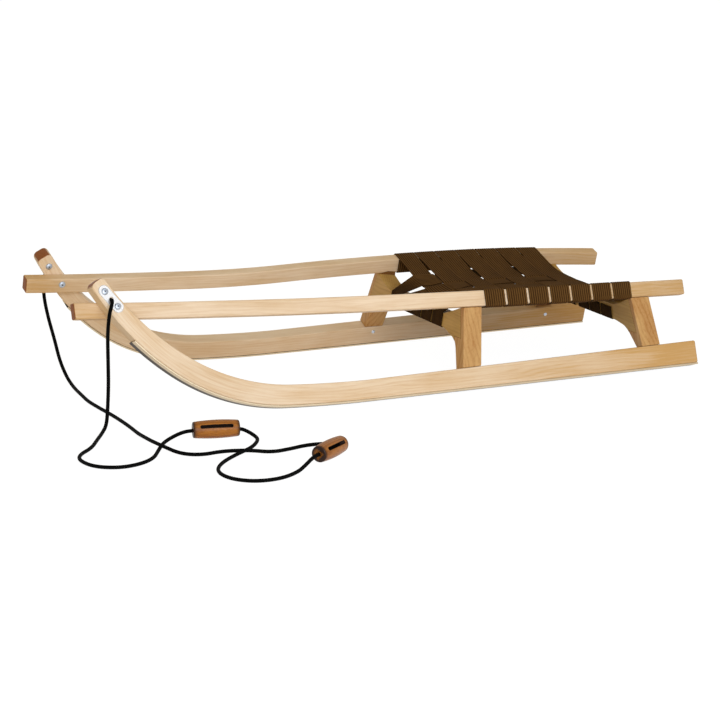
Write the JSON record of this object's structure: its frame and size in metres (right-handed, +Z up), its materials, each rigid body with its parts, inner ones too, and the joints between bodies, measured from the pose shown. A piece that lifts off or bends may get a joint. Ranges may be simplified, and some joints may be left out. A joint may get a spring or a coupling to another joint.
{
  "type": "racing sled",
  "caption": "Wooden racing sled with leaning bent runners, steel running strips, seat rails, yokes, a woven webbing seat and a tow rope with turned wooden grips.",
  "frame": {"origin": "centre of the sled's footprint, at the floor that the running strips stand on", "axes": "+X forward to the horns, along the seat rails; +Y to the rider's left; +Z up"},
  "size_m": [1.1634, 0.7871, 0.2338],
  "materials": {
    "runner_wood": "laminated pale ash, clear satin lacquer",
    "rail_wood": "pale ash, clear satin lacquer",
    "yoke_wood": "ash plank, clear satin lacquer",
    "leg_wood": "ash block, end grain, clear satin lacquer",
    "grip_wood": "turned reddish-brown hardwood, satin lacquer",
    "webbing": "dark brown ribbed webbing",
    "strip_steel": "ground steel strip",
    "plate_metal": "white-silver sheet metal",
    "bolt_steel": "zinc-plated steel",
    "rope": "black braided cord"
  },
  "bodies": {
    "root": {"left_runner": "runner_wood", "right_runner": "runner_wood", "left_running_strip": "strip_steel", "right_running_strip": "strip_steel", "left_seat_rail": "rail_wood", "right_seat_rail": "rail_wood", "front_crosspiece": "yoke_wood", "rear_crosspiece": "yoke_wood", "left_front_leg": "leg_wood", "right_front_leg": "leg_wood", "left_rear_leg": "leg_wood", "right_rear_leg": "leg_wood", "cross_strap_1": "webbing", "cross_strap_2": "webbing", "cross_strap_3": "webbing", "cross_strap_4": "webbing", "cross_strap_5": "webbing", "cross_strap_6": "webbing", "cross_strap_7": "webbing", "long_strap_1": "webbing", "long_strap_2": "webbing", "long_strap_3": "webbing", "long_strap_4": "webbing", "long_strap_5": "webbing", "left_horn_plate": "plate_metal", "right_horn_plate": "plate_metal", "left_horn_bolt": "bolt_steel", "right_horn_bolt": "bolt_steel", "left_rail_bolt": "bolt_steel", "right_rail_bolt": "bolt_steel", "rope_grip_1": "grip_wood", "rope_grip_2": "grip_wood", "tow_rope_left": "rope", "tow_rope_middle": "rope", "tow_rope_right": "rope"}
  },
  "joints": []
}
